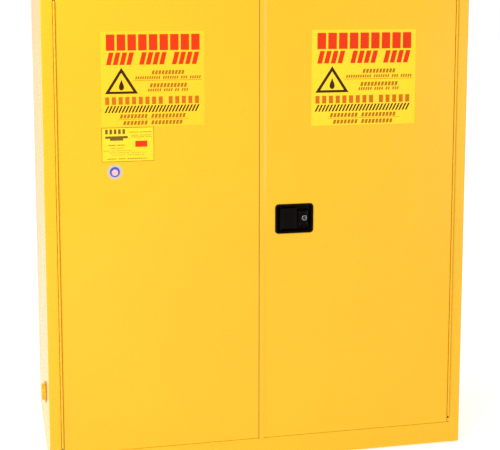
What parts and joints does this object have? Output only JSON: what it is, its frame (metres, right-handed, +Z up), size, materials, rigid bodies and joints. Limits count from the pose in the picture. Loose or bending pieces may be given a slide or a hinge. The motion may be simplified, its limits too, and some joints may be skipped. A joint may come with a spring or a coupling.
{
  "type": "flammable storage cabinet",
  "caption": "Double-wall steel safety cabinet with hinged doors, a recessed paddle latch, side vents, a leakproof sump, a half-depth shelf and drum roller decks.",
  "frame": {"origin": "on the floor, under the middle of the cabinet's overall box", "axes": "+Z up, the doors face -Y, +X to the right as seen from the front"},
  "size_m": [1.505, 0.792, 1.651],
  "materials": {
    "yellow_powder_coat": "glossy yellow powder coat with a light orange peel",
    "galvanised_steel": "galvanised sheet",
    "bright_steel": "zinc plated",
    "lock_chrome": "polished",
    "black_handle": "satin black",
    "black_nylon": "moulded",
    "brass": "dull"
  },
  "bodies": {
    "cabinet": {"outer_left_side": "yellow_powder_coat", "outer_right_side": "yellow_powder_coat", "outer_top": "yellow_powder_coat", "outer_bottom": "yellow_powder_coat", "outer_back": "yellow_powder_coat", "inner_left_wall": "yellow_powder_coat", "inner_right_wall": "yellow_powder_coat", "inner_top": "yellow_powder_coat", "inner_back": "yellow_powder_coat", "sump_pan": "yellow_powder_coat", "left_hinge_frame_leaf": "yellow_powder_coat", "left_hinge_pin": "bright_steel", "right_hinge_frame_leaf": "yellow_powder_coat", "right_hinge_pin": "bright_steel", "left_vent_socket": "galvanised_steel", "right_vent_socket": "galvanised_steel", "left_flame_arrester": "brass", "right_flame_arrester": "brass", "ground_stud": "brass", "shelf_clip_left_front": "galvanised_steel", "shelf_clip_right_front": "galvanised_steel", "shelf_clip_left_rear": "galvanised_steel", "shelf_clip_right_rear": "galvanised_steel", "left_roller_deck": "galvanised_steel", "right_roller_deck": "galvanised_steel"},
    "left_door": {"left_door_outer": "yellow_powder_coat", "left_door_inner": "yellow_powder_coat", "strike_plate": "bright_steel", "left_hinge_door_leaf": "yellow_powder_coat"},
    "right_door": {"right_door_outer": "yellow_powder_coat", "right_door_inner": "yellow_powder_coat", "right_hinge_door_leaf": "yellow_powder_coat", "handle_pan": "black_handle", "paddle_pin": "black_handle", "lock_body": "lock_chrome", "upper_rod_guide": "black_nylon", "lower_rod_guide": "black_nylon"},
    "paddle": {"paddle": "black_handle"},
    "lock_plug": {"lock_plug": "lock_chrome"},
    "latch_hub": {"latch_hub": "galvanised_steel"},
    "upper_rod": {"upper_rod": "bright_steel"},
    "lower_rod": {"lower_rod": "bright_steel"},
    "centre_bolt": {"centre_bolt": "bright_steel"},
    "shelf": {"shelf": "galvanised_steel"},
    "left_vent_bung": {"left_vent_bung": "yellow_powder_coat"},
    "right_vent_bung": {"right_vent_bung": "yellow_powder_coat"},
    "foot_front_left": {"foot_front_left": "bright_steel"},
    "foot_front_right": {"foot_front_right": "bright_steel"},
    "foot_rear_left": {"foot_rear_left": "bright_steel"},
    "foot_rear_right": {"foot_rear_right": "bright_steel"},
    "left_roller_1": {"left_roller_1": "bright_steel"},
    "left_roller_2": {"left_roller_2": "bright_steel"},
    "left_roller_3": {"left_roller_3": "bright_steel"},
    "left_roller_4": {"left_roller_4": "bright_steel"},
    "left_roller_5": {"left_roller_5": "bright_steel"},
    "right_roller_1": {"right_roller_1": "bright_steel"},
    "right_roller_2": {"right_roller_2": "bright_steel"},
    "right_roller_3": {"right_roller_3": "bright_steel"},
    "right_roller_4": {"right_roller_4": "bright_steel"},
    "right_roller_5": {"right_roller_5": "bright_steel"}
  },
  "joints": [
    {"name": "left_door_swing", "type": "hinge", "parent": "cabinet", "child": "left_door", "pos_m": [-0.69375, -0.395, 0.8555], "axis": [0, 0, -1], "range_deg": [0, 180]},
    {"name": "right_door_swing", "type": "hinge", "parent": "cabinet", "child": "right_door", "pos_m": [0.69375, -0.395, 0.8555], "axis": [0, 0, 1], "range_deg": [0, 180]},
    {"name": "paddle_pull", "type": "hinge", "parent": "right_door", "child": "paddle", "pos_m": [0.063, -0.3895, 0.8605], "axis": [0, 0, -1], "range_deg": [0, 35], "stiffness_Nm_per_rad": 1.2, "springref_deg": -11.46},
    {"name": "latch_hub_turn", "type": "hinge", "parent": "right_door", "child": "latch_hub", "pos_m": [0.1102, -0.373, 0.8605], "axis": [0, 1, 0], "range_deg": [0, 45.2]},
    {"name": "upper_rod_slide", "type": "slide", "parent": "right_door", "child": "upper_rod", "axis": [0, 0, -1], "range_m": [0, 0.0162]},
    {"name": "lower_rod_slide", "type": "slide", "parent": "right_door", "child": "lower_rod", "axis": [0, 0, 1], "range_m": [0, 0.0162]},
    {"name": "centre_bolt_slide", "type": "slide", "parent": "right_door", "child": "centre_bolt", "axis": [1, 0, 0], "range_m": [0, 0.0162]},
    {"name": "lock_turn", "type": "hinge", "parent": "right_door", "child": "lock_plug", "pos_m": [0.147, -0.3835, 0.8605], "axis": [0, 1, 0], "range_deg": [0, 90]},
    {"name": "shelf_lift", "type": "slide", "parent": "cabinet", "child": "shelf", "axis": [0, 0, 1], "range_m": [0, 0.05]},
    {"name": "left_bung_turn", "type": "hinge", "parent": "cabinet", "child": "left_vent_bung", "pos_m": [-0.7365, -0.18, 0.232], "axis": [-1, 0, 0], "continuous": true},
    {"name": "right_bung_turn", "type": "hinge", "parent": "cabinet", "child": "right_vent_bung", "pos_m": [0.7365, -0.18, 1.501], "axis": [1, 0, 0], "continuous": true},
    {"name": "foot_front_left_screw", "type": "slide", "parent": "cabinet", "child": "foot_front_left", "axis": [0, 0, 1], "range_m": [-0.015, 0]},
    {"name": "foot_front_right_screw", "type": "slide", "parent": "cabinet", "child": "foot_front_right", "axis": [0, 0, 1], "range_m": [-0.015, 0]},
    {"name": "foot_rear_left_screw", "type": "slide", "parent": "cabinet", "child": "foot_rear_left", "axis": [0, 0, 1], "range_m": [-0.015, 0]},
    {"name": "foot_rear_right_screw", "type": "slide", "parent": "cabinet", "child": "foot_rear_right", "axis": [0, 0, 1], "range_m": [-0.015, 0]},
    {"name": "left_roller_1_spin", "type": "hinge", "parent": "cabinet", "child": "left_roller_1", "pos_m": [-0.345, -0.24, 0.076], "axis": [1, 0, 0], "continuous": true},
    {"name": "left_roller_2_spin", "type": "hinge", "parent": "cabinet", "child": "left_roller_2", "pos_m": [-0.345, -0.12, 0.076], "axis": [1, 0, 0], "continuous": true},
    {"name": "left_roller_3_spin", "type": "hinge", "parent": "cabinet", "child": "left_roller_3", "pos_m": [-0.345, 0, 0.076], "axis": [1, 0, 0], "continuous": true},
    {"name": "left_roller_4_spin", "type": "hinge", "parent": "cabinet", "child": "left_roller_4", "pos_m": [-0.345, 0.12, 0.076], "axis": [1, 0, 0], "continuous": true},
    {"name": "left_roller_5_spin", "type": "hinge", "parent": "cabinet", "child": "left_roller_5", "pos_m": [-0.345, 0.24, 0.076], "axis": [1, 0, 0], "continuous": true},
    {"name": "right_roller_1_spin", "type": "hinge", "parent": "cabinet", "child": "right_roller_1", "pos_m": [0.345, -0.24, 0.076], "axis": [1, 0, 0], "continuous": true},
    {"name": "right_roller_2_spin", "type": "hinge", "parent": "cabinet", "child": "right_roller_2", "pos_m": [0.345, -0.12, 0.076], "axis": [1, 0, 0], "continuous": true},
    {"name": "right_roller_3_spin", "type": "hinge", "parent": "cabinet", "child": "right_roller_3", "pos_m": [0.345, 0, 0.076], "axis": [1, 0, 0], "continuous": true},
    {"name": "right_roller_4_spin", "type": "hinge", "parent": "cabinet", "child": "right_roller_4", "pos_m": [0.345, 0.12, 0.076], "axis": [1, 0, 0], "continuous": true},
    {"name": "right_roller_5_spin", "type": "hinge", "parent": "cabinet", "child": "right_roller_5", "pos_m": [0.345, 0.24, 0.076], "axis": [1, 0, 0], "continuous": true}
  ],
  "couplings": [
    {"joint": "latch_hub_turn", "follows": "paddle_pull", "ratio": 1.2857},
    {"joint": "upper_rod_slide", "follows": "paddle_pull", "m_per_rad": 0.026192},
    {"joint": "lower_rod_slide", "follows": "paddle_pull", "m_per_rad": 0.026192},
    {"joint": "centre_bolt_slide", "follows": "paddle_pull", "m_per_rad": 0.026192}
  ]
}
